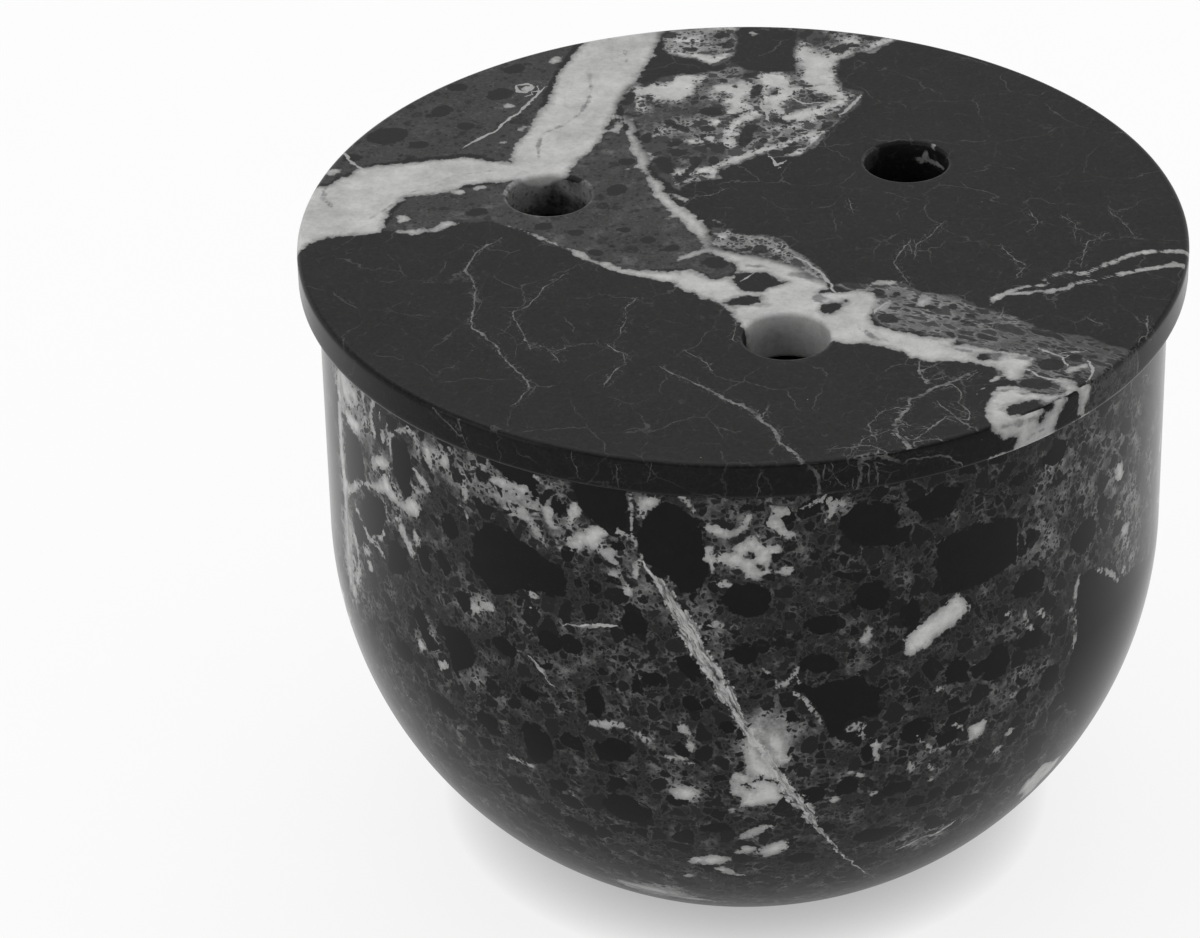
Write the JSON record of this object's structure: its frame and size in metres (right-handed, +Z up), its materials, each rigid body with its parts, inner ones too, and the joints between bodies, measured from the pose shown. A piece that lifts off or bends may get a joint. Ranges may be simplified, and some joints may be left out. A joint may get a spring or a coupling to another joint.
{
  "type": "garlic keeper",
  "caption": "Round stone garlic keeper: a thick turned bowl on a flat foot, closed by a loose flat lid with vent holes that lifts straight off.",
  "frame": {"origin": "middle of the foot, on the surface that the bowl stands on", "axes": "+Z up through the middle of the bowl and lid; one vent lies towards -Y, a little to the +X side, and the other two follow at thirds of a turn"},
  "size_m": [0.1334, 0.1334, 0.1016],
  "materials": {
    "bowl_marble": "polished black breccia marble with grey and white fragments and veins",
    "lid_marble": "honed to satin black marble with broad white veins and grey breccia"
  },
  "bodies": {
    "bowl": {"bowl": "bowl_marble"},
    "lid": {"lid": "lid_marble"}
  },
  "joints": [
    {"name": "lid_lift", "type": "slide", "parent": "bowl", "child": "lid", "axis": [0, 0, 1], "range_m": [0, 0.12]}
  ]
}
